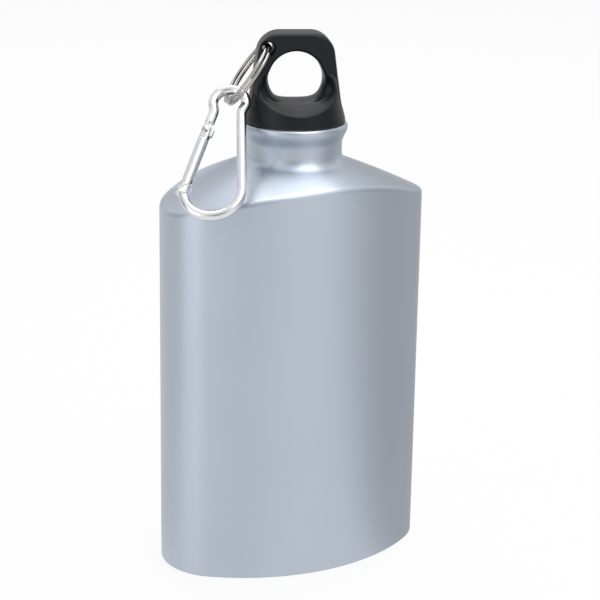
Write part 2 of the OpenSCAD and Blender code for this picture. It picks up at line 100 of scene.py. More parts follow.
def oval_radius(angle, inset=0.0):
    """Distance from the axis to the oval, drawn in by inset, in each direction."""
    c, s = np.abs(np.cos(angle)), np.abs(np.sin(angle))
    end_x = half_width - end_radius
    switch_x = end_x + (end_radius - inset) * end_x / (side_radius - end_radius)
    end = end_x * c + np.sqrt(np.maximum((end_radius - inset) ** 2 - (end_x * s) ** 2, 0))
    drop = side_radius - half_depth
    side = -drop * s + np.sqrt((side_radius - inset) ** 2 - (drop * c) ** 2)
    return np.where(side * c > switch_x, end, side)


def even_angles(count):
    """Directions of points spread evenly along the oval."""
    fine = np.linspace(0, 2 * math.pi, fine_columns)
    r = oval_radius(fine)
    points = np.stack([r * np.cos(fine), r * np.sin(fine)], axis=1)
    run = np.concatenate([[0], np.cumsum(np.linalg.norm(np.diff(points, axis=0), axis=1))])
    return np.interp(np.arange(count) / count * run[-1], run, fine), run[-1]


def arc(from_angle, to_angle, count):
    """Angles along an arc, both ends included."""
    return np.linspace(from_angle, to_angle, count)


angles, girth = even_angles(columns)
outer = oval_radius(angles)
dome_run = half_width - neck_radius
dome_chord = math.hypot(dome_run, shoulder_rise)
dome_deep = math.sqrt(dome_radius ** 2 - dome_chord ** 2 / 4)
dome_x = (half_width + neck_radius) / 2 - shoulder_rise / dome_chord * dome_deep
dome_z = shoulder_height + shoulder_rise / 2 - dome_run / dome_chord * dome_deep


def shoulder_rows(edge, radius, blend, neck, neck_fillet):
    """Rows of points from the wall's top over the blended edge and the dome to the foot of the neck."""
    rows = []
    blend_x = edge - blend
    blend_z = dome_z + np.sqrt((radius - blend) ** 2 - (blend_x - dome_x) ** 2)
    lean = np.arctan2(blend_z - dome_z, blend_x - dome_x)
    for share in np.linspace(0, 1, blend_rows):
        rows.append((blend_x + blend * np.cos(lean * share), blend_z + blend * np.sin(lean * share)))
    fillet_x = neck + neck_fillet
    fillet_z = dome_z + np.sqrt((radius + neck_fillet) ** 2 - (fillet_x - dome_x) ** 2)
    top = np.arctan2(fillet_z - dome_z, fillet_x - dome_x)
    for share in np.linspace(0, 1, dome_rows)[1:]:
        turn = lean + (top - lean) * share
        rows.append((dome_x + radius * np.cos(turn), dome_z + radius * np.sin(turn)))
    for turn in arc(top + math.pi, math.pi, fillet_rows)[1:]:
        rows.append((fillet_x + neck_fillet * np.cos(turn), fillet_z + neck_fillet * np.sin(turn)))
    return rows


def flat_row(radius, z):
    """One row of points on a circle."""
    return np.full_like(outer, radius), np.full_like(outer, z)


shell_rows = []
for inset, share in dish_profile:
    shell_rows.append((oval_radius(angles, inset * mm), np.full_like(outer, share * base_dish)))
for turn in arc(-math.pi / 2, 0, edge_rows):
    shell_rows.append((oval_radius(angles, base_edge * (1 - math.cos(turn))),
                       np.full_like(outer, base_edge * (1 + math.sin(turn)))))
neck_blend = neck_blend_end + (neck_blend_front - neck_blend_end) * np.sin(angles) ** 2
shoulder = shoulder_rows(outer, dome_radius, shoulder_blend, neck_radius, neck_blend)
for share in np.linspace(0, 1, wall_rows)[1:-1]:
    shell_rows.append((outer, base_edge + (shoulder[0][1] - base_edge) * share))
shell_rows += shoulder
shell_rows.append(flat_row(neck_radius, rim_height - bead_foot - bead_lead))
for share in np.linspace(0, 1, bead_rows):
    out = bead_out * share * share * (3 - 2 * share)
    shell_rows.append(flat_row(neck_radius + out, rim_height - bead_foot + (bead_foot - bead_crown) * share))
for turn in arc(0, math.pi / 2, edge_rows)[1:]:
    out = bead_out - bead_turn * (1 - math.cos(turn))
    shell_rows.append(flat_row(neck_radius + out, rim_height - bead_crown * (1 - math.sin(turn))))
bore = neck_radius - neck_wall
for radius, z in ((neck_radius + bead_out - bead_turn - rim_flat, rim_height), (bore + rim_corner, rim_height),
                  (bore, rim_height - rim_corner), (bore, rim_height - neck_wall)):
    shell_rows.append(flat_row(radius, z))
for share in np.linspace(0, 1, roll_rows):
    out = (bead_out - bead_thinning) * math.sin(math.pi * share) ** 2
    shell_rows.append(flat_row(bore + out, rim_height - neck_wall - (bead_foot - neck_wall) * share))
inside = shoulder_rows(oval_radius(angles, wall), dome_radius - wall, shoulder_blend - wall, bore, neck_blend)
shell_rows += inside[::-1]
floor_z = base_dish + base_thickness
for z in (inner_middle, floor_z + inner_fold):
    shell_rows.append((oval_radius(angles, wall), np.full_like(outer, z)))
for inset, lift in inner_corner:
    shell_rows.append((oval_radius(angles, wall + inset * mm), np.full_like(outer, floor_z + lift * mm)))


def closed_rows(name, rows, turns, first_pole, last_pole):
    """A mesh of rows of points round the axis, closed by a point at each end, with lengths as its UV map."""
    count = len(turns)
    points = [(0, 0, first_pole)]
    for r, z in rows:
        points += list(zip(r * np.cos(turns), r * np.sin(turns), z))
    points.append((0, 0, last_pole))
    last = len(points) - 1
    faces = [(0, 1 + (j + 1) % count, 1 + j) for j in range(count)]
    for i in range(len(rows) - 1):
        a, b = 1 + i * count, 1 + (i + 1) * count
        faces += [(a + j, a + (j + 1) % count, b + (j + 1) % count, b + j) for j in range(count)]
    a = 1 + (len(rows) - 1) * count
    faces += [(a + j, a + (j + 1) % count, last) for j in range(count)]
    mesh = bpy.data.meshes.new(name)
    mesh.from_pydata(points, [], faces)
    lengths = [0.0]
    for (r, z), (next_r, next_z) in zip(rows, rows[1:]):
        lengths.append(lengths[-1] + float(np.mean(np.hypot(next_r - r, next_z - z))))
    uv = mesh.uv_layers.new(name="brushing")
    for polygon in mesh.polygons:
        columns_here = [(v - 1) % count if 0 < v < last else None for v in polygon.vertices]
        wraps = count - 1 in columns_here and 0 in columns_here
        for loop, v, column in zip(polygon.loop_indices, polygon.vertices, columns_here):
            if column is None:
                uv.data[loop].uv = (0, lengths[0] if v == 0 else lengths[-1])
                continue
            u = count if wraps and column == 0 else column
            uv.data[loop].uv = (u / count * girth, lengths[(v - 1) // count])
        polygon.use_smooth = True
    mesh.update()
    return mesh


def new_piece(name, mesh, body, slot, *nodes):
    """Links a finished mesh to the scene, on its body, in the place of its CAD nodes."""
    piece = bpy.data.objects.new(name, mesh)
    bpy.context.scene.collection.objects.link(piece)
    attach(piece, body)
    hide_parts(*nodes)
    return piece


def new_material(name, **sockets):
    """A material whose shader has these values set on its own sockets."""
    material = bpy.data.materials.new(name)
    material.use_nodes = True
    shader = material.node_tree.nodes["Principled BSDF"]
    for socket, value in sockets.items():
        shader.inputs[socket.replace("_", " ")].default_value = value
    return material, shader


def add_node(material, kind, values=(), **settings):
    """A shader node with its properties set, and its inputs by name or number."""
    node = material.node_tree.nodes.new(kind)
    for key, value in settings.items():
        setattr(node, key, value)
    for key, value in dict(values).items():
        node.inputs[key].default_value = value
    return node


def join(material, *steps):
    """Links pairs of sockets, each output to its input."""
    for output, target in steps:
        material.node_tree.links.new(output, target)


first_colour, second_colour, mixed_colour = 6, 7, 2


def noise_on(material, **values):
    """A noise pattern that is fixed to the piece."""
    place = add_node(material, "ShaderNodeTexCoord")
    noise = add_node(material, "ShaderNodeTexNoise", values)
    join(material, (place.outputs["Object"], noise.inputs["Vector"]))
    return noise


def two_tones(material, shader, pattern, first, second):
    """Mixes two colours by a pattern, for the shader's base colour."""
    tone = add_node(material, "ShaderNodeMix", {first_colour: (*first, 1), second_colour: (*second, 1)},
                    data_type="RGBA")
    join(material, (pattern.outputs["Fac"], tone.inputs["Factor"]),
         (tone.outputs[mixed_colour], shader.inputs["Base Color"]))


def uneven_gloss(material, shader, pattern, least, most):
    """Varies the shader's roughness by a pattern."""
    gloss = add_node(material, "ShaderNodeMapRange", {"To Min": least, "To Max": most})
    join(material, (pattern.outputs["Fac"], gloss.inputs["Value"]),
         (gloss.outputs["Result"], shader.inputs["Roughness"]))


def fine_relief(material, shader, pattern, strength, depth):
    """Raises a pattern slightly from the surface."""
    relief = add_node(material, "ShaderNodeBump", {"Strength": strength, "Distance": depth})
    join(material, (pattern.outputs["Fac"], relief.inputs["Height"]),
         (relief.outputs["Normal"], shader.inputs["Normal"]))


brushed, shader = new_material("brushed aluminium", Metallic=1.0, Anisotropic=0.7, Anisotropic_Rotation=0.25)
place = add_node(brushed, "ShaderNodeTexCoord")
strokes_at = add_node(brushed, "ShaderNodeMapping", {"Scale": (24, 2600, 1)})
strokes = add_node(brushed, "ShaderNodeTexNoise", {"Scale": 1, "Detail": 4, "Roughness": 0.6})
along = add_node(brushed, "ShaderNodeTangent", direction_type="UV_MAP", uv_map="brushing")
join(brushed, (place.outputs["UV"], strokes_at.inputs["Vector"]),
     (strokes_at.outputs["Vector"], strokes.inputs["Vector"]),
     (along.outputs["Tangent"], shader.inputs["Tangent"]))
two_tones(brushed, shader, noise_on(brushed, Scale=28, Detail=2), (0.475, 0.528, 0.605), (0.522, 0.575, 0.652))
uneven_gloss(brushed, shader, strokes, 0.34, 0.44)
fine_relief(brushed, shader, strokes, 0.10, 0.00004)
shell_mesh = closed_rows("bottle", shell_rows, angles, base_dish, floor_z)
shell_mesh.materials.append(brushed)
new_piece("bottle", shell_mesh, "bottle", "brushed_aluminium", "bottle_shell")

# Threaded ring: a natural plastic moulding held in the neck by the rolled bead. It carries the
# thread that the cap's plug screws into. Most of it is out of sight, so the CAD solid stays.
natural, shader = new_material("natural moulded plastic", Roughness=0.42)
two_tones(natural, shader, noise_on(natural, Scale=220, Detail=3), (0.74, 0.73, 0.69), (0.84, 0.83, 0.79))


def dress(node, material):
    """Gives a CAD node that stays in view its material."""
    mesh = frame["nodes"][node].data
    mesh.materials.clear()
    mesh.materials.append(material)


dress("neck_thread_ring", natural)

# Gasket: a soft ring cut from sheet. It is seated under the cap's foot, and is squeezed on the
# bottle's rim as the cap shuts.
soft, shader = new_material("soft seal", Roughness=0.7)
cloud = noise_on(soft, Scale=600, Detail=4)
two_tones(soft, shader, cloud, (0.70, 0.70, 0.67), (0.80, 0.80, 0.77))
fine_relief(soft, shader, cloud, 0.2, 0.0001)
dress("cap_gasket", soft)

# Cap: a black injection moulding with a finger loop standing on a flared round foot. The foot is
# scooped out in front of and behind the loop, where the finger hole flares into the scoops.
# The plug is a second moulding in the same plastic, pressed in from below.
foot_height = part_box("loop_cap")[0].z
joint_at = {joint["name"]: Vector(joint["pos_m"]) for joint in frame["joints"] if "pos_m" in joint}
axis_of = {joint["name"]: Vector(joint["axis"]).normalized() for joint in frame["joints"]}
loop_axis = axis_of["ring_swing"]
cap_turn = math.atan2(-loop_axis.x, loop_axis.y)
grid_step = 0.36
foot_radius = 16.9
waist_radius = 15.1
flare_height = 6.8
flare_start = 0.6
flare_blend = 0.35
foot_edge = 0.5
foot_base_edge = 0.4
cap_height = 29.4
loop_low_half = 14.8
loop_top_half = 12.6
loop_corner = 6.5
loop_half_thick = 5.3
loop_edge = 1.9
loop_foot = 1.0
loop_foot_edge = 0.2
finger_radius = 8.95
finger_height = 14.35
saddle_height = 7.4
funnel_start = 0.5
funnel_top = 18.0
funnel_fade = 8.0
finger_corner = 1.2
finger_edge = 1.6
floor_edge = 0.3
floor_edge_lift = 0.4
floor_edge_rise = 3.0
round_height = 16.5
round_edge = 3.0
scoop_half_width = 12.0
scoop_half_height = 6.6
scoop_floor = 4.4
scoop_reach = 15.5
scoop_corner = 2.8
scoop_edge = 0.6
saddle_flat = 0.45
saddle_flat_half = 6.0
saddle_flat_fade = 4.0
loop_blend = 0.5
eye_out = 9.2
eye_height = 24.4
eye_radius = 1.85
eye_sink_radius = 2.35
eye_sink_start = 3.7
eye_edge = 0.25
eye_sink_edge = 0.3
seat_radius = 15.8
seat_height = 1.3
socket_radius = 11.35
socket_height = 2.55
cap_room = (-18.3, -18.3, -1.1), (18.3, 18.3, 30.6)


def round_meet(a, b, radius):
    """Distance to the overlap of two shapes, with a rounded edge where they meet."""
    a, b = a + radius, b + radius
    return np.minimum(np.maximum(a, b), 0) + np.hypot(np.maximum(a, 0), np.maximum(b, 0)) - radius


def round_join(a, b, radius):
    """Distance to two shapes run together, with a hollow fillet between them."""
    return -round_meet(-a, -b, radius)


def soft_join(a, b, width):
    """Distance to two shapes run together where they lie nearly level with each other."""
    gap = np.maximum(width - np.abs(a - b), 0)
    return np.minimum(a, b) - gap * gap / (4 * width)


def ease(share):
    """A share between nothing and one, eased in and out."""
    share = np.clip(share, 0, 1)
    return share * share * (3 - 2 * share)


def line_side(u, v, start, end):
    """Distance to the right of a line through two points."""
    du, dv = end[0] - start[0], end[1] - start[1]
    return ((u - start[0]) * dv - (v - start[1]) * du) / math.hypot(du, dv)


def cap_distance(x, y, z):
    """Distance to the cap's moulded surface, in millimetres from the middle of its foot."""
    r = np.hypot(x, y)
    side_run = (loop_low_half - loop_top_half) / (cap_height - loop_corner - flare_height)
    upper = line_side(r, z, (waist_radius, flare_height), (waist_radius - side_run, flare_height + 1))
    flare = line_side(r, z, (foot_radius, flare_start), (waist_radius, flare_height))
    foot = round_meet(soft_join(flare, upper, flare_blend), r - foot_radius, foot_edge)
    foot = round_meet(round_meet(foot, -z, foot_base_edge), z - round_height, round_edge)
    way = np.clip(y * y / np.maximum(scoop_reach ** 2 - x * x, 1), 0, 1)
    floor = scoop_floor + (saddle_height - scoop_floor) * (1 - way) ** 2
    below = np.minimum(z - floor - scoop_half_height, 0)
    aside = ease((np.abs(x) - saddle_flat_half) / saddle_flat_fade)
    across = x * (1 - saddle_flat * (1 - way) ** 2 * (1 - aside))
    reach = np.hypot(across / scoop_half_width, below / scoop_half_height)
    steep = np.hypot(across / scoop_half_width ** 2, below / scoop_half_height ** 2)
    hollow = reach * (reach - 1) / np.maximum(steep, 1e-6)
    scoop = round_meet(hollow, loop_half_thick - np.abs(y), scoop_corner)
    foot = round_meet(foot, -scoop, scoop_edge)
    sides = line_side(np.abs(x), z, (loop_low_half, flare_height), (loop_top_half, cap_height - loop_corner))
    outline = round_meet(sides, z - cap_height, loop_corner)
    loop = round_meet(outline, np.abs(y) - loop_half_thick, loop_edge)
    loop = round_meet(loop, loop_foot - z, loop_foot_edge)
    body = soft_join(foot, loop, loop_blend)
    finger = round_meet(np.hypot(x, z - finger_height) - finger_radius, hollow, finger_corner)
    outward = np.clip((np.abs(y) - funnel_start) / (loop_half_thick - funnel_start), 0, 1)
    flared = outward * outward * ease((funnel_top - z) / funnel_fade)
    finger = finger + (hollow - finger) * flared
    raised = np.clip((z - floor - floor_edge_lift) / floor_edge_rise, 0, 1)
    body = -soft_join(-body, finger, floor_edge + finger_edge * raised)
    eye_r = np.hypot(x + eye_out, z - eye_height)
    body = round_meet(body, eye_radius - eye_r, eye_edge)
    sink = np.maximum(eye_r - eye_sink_radius, eye_sink_start - np.abs(y))
    body = round_meet(body, -sink, eye_sink_edge)
    body = np.maximum(body, -np.maximum(r - seat_radius, z - seat_height))
    return np.maximum(body, -np.maximum(r - socket_radius, z - socket_height))


def skin_of(distance, low, high, step, name):
    """A closed mesh of four-sided faces over the places where a distance is nothing."""
    settle_rounds, probe, most_shift, least_slope = 3, 0.02, 0.2, 0.25
    axes = [np.arange(a, b + step, step) for a, b in zip(low, high)]
    grid = np.stack(np.meshgrid(*axes, indexing="ij"), axis=-1)
    field = distance(grid[..., 0], grid[..., 1], grid[..., 2])
    solid = field < 0
    corners = [(i, j, k) for i in (0, 1) for j in (0, 1) for k in (0, 1)]
    size = np.array(field.shape) - 1

    def part(values, corner):
        return values[tuple(slice(c, c + n) for c, n in zip(corner, size))]

    filled = sum(part(solid, c).astype(int) for c in corners)
    crossed = (filled > 0) & (filled < 8)
    total = np.zeros(tuple(size) + (3,))
    hits = np.zeros(tuple(size))
    for a in corners:
        for b in corners:
            if sum(b) - sum(a) != 1 or any(q < p for p, q in zip(a, b)):
                continue
            va, vb = part(field, a), part(field, b)
            cut = (va < 0) != (vb < 0)
            share = np.where(cut, va / np.where(cut, va - vb, 1), 0)
            for axis in range(3):
                total[..., axis] += np.where(cut, a[axis] + share * (b[axis] - a[axis]), 0)
            hits += cut
    number = np.full(tuple(size), -1)
    number[crossed] = np.arange(crossed.sum())
    cells = np.argwhere(crossed)
    points = (cells + total[crossed] / hits[crossed][:, None]) * step + np.array(low)
    for _ in range(settle_rounds):
        value = np.clip(distance(*points.T), -most_shift, most_shift)
        slope = np.stack([(distance(*(points + d).T) - distance(*(points - d).T)) / (2 * d.max())
                          for d in np.eye(3) * probe], axis=1)
        points -= value[:, None] * slope / np.maximum((slope ** 2).sum(1), least_slope)[:, None]
    faces = []
    for axis in range(3):
        u, v = [(1, 2), (2, 0), (0, 1)][axis]
        here = [slice(1, n) for n in size]
        here[axis] = slice(0, size[axis])
        nxt = [slice(1, n) for n in size]
        nxt[axis] = slice(1, size[axis] + 1)
        starts, ends = solid[tuple(here)], solid[tuple(nxt)]
        changed = np.argwhere(starts != ends)
        leaving = starts[tuple(changed.T)]
        cell = changed + np.array([0 if i == axis else 1 for i in range(3)])
        quad = []
        for du, dv in ((1, 1), (0, 1), (0, 0), (1, 0)):
            at = cell.copy()
            at[:, u] -= du
            at[:, v] -= dv
            quad.append(number[tuple(at.T)])
        quad = np.stack(quad, axis=1)
        quad[~leaving] = quad[~leaving][:, ::-1]
        faces.append(quad)
    mesh = bpy.data.meshes.new(name)
    mesh.from_pydata([tuple(p) for p in points], [], [tuple(int(i) for i in f) for f in np.concatenate(faces)])
    for polygon in mesh.polygons:
        polygon.use_smooth = True
    mesh.update()
    return mesh


black, shader = new_material("black moulded plastic", Specular_IOR_Level=0.25,
                             Specular_Tint=(0.90, 0.95, 1.0, 1))
flow = noise_on(black, Scale=90, Detail=2)
two_tones(black, shader, flow, (0.007, 0.007, 0.008), (0.012, 0.012, 0.014))
uneven_gloss(black, shader, flow, 0.30, 0.40)
fine_relief(black, shader, noise_on(black, Scale=2600, Detail=3, Roughness=0.6), 0.12, 0.00005)
cap_mesh = skin_of(cap_distance, *cap_room, grid_step, "cap")
cap_place = Matrix.Translation((0, 0, foot_height)) @ Matrix.Rotation(cap_turn, 4, "Z")
cap_mesh.transform(cap_place @ Matrix.Scale(mm, 4))
cap_mesh.materials.append(black)
new_piece("cap", cap_mesh, "cap", "black_plastic", "loop_cap")
dress("cap_plug", black)

# Split ring: two turns of flat nickel-plated spring wire, joined by one step, with square-cut ends.
# It hangs in the small hole of the loop and holds the carabiner.
wire_width = 1.6 * mm
wire_thickness = 0.95 * mm
wire_edge = 0.3 * mm
turn_gap = 0.45 * mm
turn_pitch = wire_thickness + turn_gap
ring_radius = 11.2 * mm
ring_lean = math.radians(35)
ring_hang = 10.886 * mm
step_angle = math.radians(36)
end_angle = math.radians(24)
ring_points = 260
sharp_edge = math.radians(50)


def sweep_tree(name):
    """Geometry nodes that run a rounded flat section along a path."""
    tree = bpy.data.node_groups.new(name, "GeometryNodeTree")
    tree.interface.new_socket("Path", in_out="INPUT", socket_type="NodeSocketGeometry")
    for label in ("Width", "Thickness", "Edge radius"):
        tree.interface.new_socket(label, in_out="INPUT", socket_type="NodeSocketFloat")
    tree.interface.new_socket("Edge steps", in_out="INPUT", socket_type="NodeSocketInt")
    tree.interface.new_socket("Finish", in_out="INPUT", socket_type="NodeSocketMaterial")
    tree.interface.new_socket("Swept piece", in_out="OUTPUT", socket_type="NodeSocketGeometry")
    given = tree.nodes.new("NodeGroupInput")
    made = tree.nodes.new("NodeGroupOutput")
    upright = tree.nodes.new("GeometryNodeSetCurveNormal")
    upright.mode = "Z_UP"
    section = tree.nodes.new("GeometryNodeCurvePrimitiveQuadrilateral")
    rounding = tree.nodes.new("GeometryNodeFilletCurve")
    rounding.mode = "POLY"
    sweep = tree.nodes.new("GeometryNodeCurveToMesh")
    sweep.inputs["Fill Caps"].default_value = True
    smooth = tree.nodes.new("GeometryNodeSetShadeSmooth")
    smooth.inputs["Shade Smooth"].default_value = False
    whole = tree.nodes.new("GeometryNodeRealizeInstances")
    finish = tree.nodes.new("GeometryNodeSetMaterial")
    for output, target in (
            (given.outputs["Path"], upright.inputs["Curve"]),
            (given.outputs["Width"], section.inputs["Width"]),
            (given.outputs["Thickness"], section.inputs["Height"]),
            (section.outputs["Curve"], rounding.inputs["Curve"]),
            (given.outputs["Edge radius"], rounding.inputs["Radius"]),
            (given.outputs["Edge steps"], rounding.inputs["Count"]),
            (upright.outputs["Curve"], sweep.inputs["Curve"]),
            (rounding.outputs["Curve"], sweep.inputs["Profile Curve"]),
            (sweep.outputs["Mesh"], smooth.inputs["Geometry"]),
            (smooth.outputs["Geometry"], whole.inputs["Geometry"]),
            (whole.outputs["Geometry"], finish.inputs["Geometry"]),
            (given.outputs["Finish"], finish.inputs["Material"]),
            (finish.outputs["Geometry"], made.inputs["Swept piece"])):
        tree.links.new(output, target)
    return tree


def swept(name, path, place, material, **sizes):
    """A mesh of a section run along a path of points, then set in its place."""
    line = bpy.data.curves.new(name, "CURVE")
    line.dimensions = "3D"
    spline = line.splines.new("POLY")
    spline.points.add(len(path) - 1)
    for point, at in zip(spline.points, path):
        point.co = (*at, 1)
    carrier = bpy.data.objects.new(name + "_path", line)
    bpy.context.scene.collection.objects.link(carrier)
    modifier = carrier.modifiers.new("sweep", "NODES")
    modifier.node_group = wire_tree
    for item in wire_tree.interface.items_tree:
        if item.in_out == "INPUT" and item.name in sizes:
            modifier[item.identifier] = sizes[item.name]
        if item.name == "Finish":
            modifier[item.identifier] = material
    graph = bpy.context.evaluated_depsgraph_get()
    mesh = bpy.data.meshes.new_from_object(carrier.evaluated_get(graph), depsgraph=graph)
    bpy.data.objects.remove(carrier)
    mesh.name = name
    mesh.transform(place)
    mesh.set_sharp_from_angle(angle=sharp_edge)
    for polygon in mesh.polygons:
        polygon.use_smooth = True
    mesh.update()
    return mesh


def frame_of(x, y, z, at):
    """A placement from three directions and a point."""
    turned = Matrix((x, y, z)).transposed().to_4x4()
    return Matrix.Translation(at) @ turned


wire_tree = sweep_tree("wire along a path")
nickel, shader = new_material("nickel plate", Metallic=1.0)
haze = noise_on(nickel, Scale=700, Detail=4)
two_tones(nickel, shader, haze, (0.40, 0.385, 0.36), (0.54, 0.52, 0.49))
uneven_gloss(nickel, shader, haze, 0.14, 0.28)
hang = Matrix.Rotation(cap_turn, 3, "Z") @ Vector((-math.sin(ring_lean), 0, -math.cos(ring_lean)))
ring_middle = joint_at["ring_swing"] + hang * ring_hang
ring_path = []
for turn in np.linspace(end_angle, 4 * math.pi - end_angle, ring_points):
    rise = turn_pitch * (ease((turn - 2 * math.pi + step_angle / 2) / step_angle) - 0.5)
    ring_path.append((-ring_radius * math.sin(turn), ring_radius * math.cos(turn), rise))
ring_place = frame_of(loop_axis, -hang, loop_axis.cross(-hang), ring_middle)
ring_mesh = swept("ring_wire", ring_path, ring_place, nickel, **{
    "Width": wire_width, "Thickness": wire_thickness, "Edge radius": wire_edge, "Edge steps": 4})
new_piece("ring_wire", ring_mesh, "ring", "nickel_wire", "split_ring")

# Carabiner rod: bright aluminium rod bent to a pear shape. Its upper end is pressed flat to a tang
# for the gate's rivet, and its lower end carries a turned collar with a tongue that the gate shuts on.
rod_diameter = 3.2 * mm
clip_length = 52.5 * mm
head_radius = 5.3 * mm
tail_radius = 9.2 * mm
waist_bend = 6 * mm
taper = math.radians(8.9)
rivet_drop = 17.1 * mm
bend_step = math.radians(3)
tail_short = math.radians(4)
round_share = 0.4999
tang_top = 2.85
tang_end = 3.7
tang_inner = 1.5
tang_outer = 2.4
tang_foot = 2.0
tang_corner = 0.5
tang_cut = 3.54
tang_cut_edge = 0.4
tang_half_thick = 0.75
tang_edge = 0.18
tang_bore = 0.85
tang_bore_edge = 0.08
tang_fillet = 0.25
stub_radius = 1.597
stub_over = 0.6
stub_edge = 0.7
rod_in_stub = 0.9
collar_top = -21.8
collar_height = 3.4
collar_radius = 2.4
collar_waist = 0.35
collar_edge = 0.3
tongue_half_width = 1.1
tongue_half_thick = 0.6
tongue_edge = 0.15
tongue_root = 0.5
tongue_length = 2.0
tongue_fillet = 0.1
tang_room = (-2.4, -2.6, -2.2), (3.0, 5.0, 2.2)
tang_step = 0.13
collar_room = (-3.0, -25.9, -3.0), (3.0, -19.3, 3.0)
collar_step = 0.15
head_middle = Vector((0, -head_radius))
tail_middle = Vector((0, -(clip_length - rod_diameter - tail_radius)))
side_offset = tail_radius + tail_middle.y * math.sin(taper)
waist_turn = taper - math.acos((side_offset + waist_bend + head_radius * math.sin(taper))
                               / (head_radius + waist_bend))
waist_middle = head_middle + (head_radius + waist_bend) * Vector((math.cos(waist_turn), math.sin(waist_turn)))
rivet_at = Vector((-(side_offset + rivet_drop * math.sin(taper)) / math.cos(taper), -rivet_drop))


def bend(middle, radius, from_angle, to_angle):
    """Points along a bend of the rod."""
    count = math.ceil(abs(to_angle - from_angle) / bend_step)
    return [middle + radius * Vector((math.cos(a), math.sin(a))) for a in arc(from_angle, to_angle, count + 1)]


waist = bend(waist_middle, waist_bend, math.pi + waist_turn, math.pi + taper)
rod_line = [rivet_at + (tang_top + rod_in_stub) * mm * Vector((math.sin(taper), math.cos(taper)))]
rod_line += [Vector((-p.x, p.y)) for p in reversed(waist)]
rod_line += bend(head_middle, head_radius, math.pi - waist_turn, waist_turn)[1:-1]
rod_line += waist
rod_line += bend(tail_middle, tail_radius, taper, tail_short - math.pi - taper)
clip_z = axis_of["gate_open"]
clip_x = Vector((0, 0, 1)).cross(clip_z).normalized()
clip_y = clip_z.cross(clip_x)
rivet_place = joint_at["gate_open"]
clip_place = frame_of(clip_x, clip_y, clip_z, rivet_place - rivet_at.x * clip_x - rivet_at.y * clip_y)
gate_y = clip_x * math.sin(taper) + clip_y * math.cos(taper)
gate_place = frame_of(gate_y.cross(clip_z), gate_y, clip_z, rivet_place)


def tang_distance(x, y, z):
    """Distance to the flat tang and the round stub of rod above it, in millimetres from the rivet."""
    plate = round_meet(np.maximum(-tang_inner - x, x - tang_outer),
                       np.maximum(-tang_foot - y, y - tang_end), tang_corner)
    plate = round_meet(plate, (x + y - tang_cut) / math.sqrt(2), tang_cut_edge)
    plate = round_meet(plate, np.abs(z) - tang_half_thick, tang_edge)
    plate = round_meet(plate, tang_bore - np.hypot(x, y), tang_bore_edge)
    stub = round_meet(np.hypot(x, z) - stub_radius,
                      np.maximum(tang_top - y, y - tang_end - stub_over), stub_edge)
    return round_join(plate, stub, tang_fillet)


def collar_distance(x, y, z):
    """Distance to the turned collar and its tongue, in millimetres from the rivet."""
    from_middle = y - collar_top + collar_height / 2
    run = from_middle / (collar_height / 2)
    collar = round_meet(np.hypot(x, z) - collar_radius + collar_waist * (1 - np.minimum(run * run, 1)),
                        np.abs(from_middle) - collar_height / 2, collar_edge)
    tongue = round_meet(np.abs(x) - tongue_half_width, np.abs(z) - tongue_half_thick, tongue_edge)
    tongue = round_meet(tongue, np.maximum(collar_top - tongue_root - y, y - collar_top - tongue_length),
                        tongue_edge)
    return round_join(collar, tongue, tongue_fillet)


def merged(name, *meshes):
    """One mesh holding several."""
    whole = bmesh.new()
    for mesh in meshes:
        whole.from_mesh(mesh)
        bpy.data.meshes.remove(mesh)
    mesh = bpy.data.meshes.new(name)
    whole.to_mesh(mesh)
    whole.free()
    return mesh


polished, shader = new_material("polished rod", Metallic=1.0)
place = add_node(polished, "ShaderNodeTexCoord")
rub_at = add_node(polished, "ShaderNodeMapping", {"Scale": (1, 1, 0.3)})
rub = add_node(polished, "ShaderNodeTexNoise", {"Scale": 420, "Detail": 2})
join(polished, (place.outputs["Object"], rub_at.inputs["Vector"]),
     (rub_at.outputs["Vector"], rub.inputs["Vector"]))
two_tones(polished, shader, rub, (0.67, 0.68, 0.70), (0.78, 0.79, 0.81))
uneven_gloss(polished, shader, rub, 0.07, 0.16)
rod_mesh = swept("rod", [(p.x, p.y, 0) for p in rod_line], clip_place, polished, **{
    "Width": rod_diameter, "Thickness": rod_diameter,
    "Edge radius": round_share * rod_diameter, "Edge steps": 7})
tang_mesh = skin_of(tang_distance, *tang_room, tang_step, "tang")
collar_mesh = skin_of(collar_distance, *collar_room, collar_step, "collar")
for fitting in (tang_mesh, collar_mesh):
    fitting.transform(gate_place @ Matrix.Scale(mm, 4))
carabiner_mesh = merged("carabiner_rod", rod_mesh, tang_mesh, collar_mesh)
carabiner_mesh.materials.append(polished)
new_piece("carabiner_rod", carabiner_mesh, "carabiner", "polished_rod", "carabiner_frame")

# Gate: a short length of drilled rod, forked over the tang at the top and slotted over the tongue
# at the foot. It is tumbled rather than polished, so it is duller than the rod.
gate_radius = 1.8
gate_top = 1.5
gate_foot = 21.5
gate_edge = 0.25
fork_depth = 3.62
fork_half_width = 1.45
fork_edge = 0.12
fork_half_gap = 0.95
slot_half_gap = 0.8
slot_top = 19.2
gap_edge = 0.1
gate_bore = 0.82
spring_bore = 1.1
spring_bore_foot = 14.05
gate_room = (-2.5, -22.2, -2.5), (2.5, 2.2, 2.5)
gate_step = 0.14
well_inside = -1.0


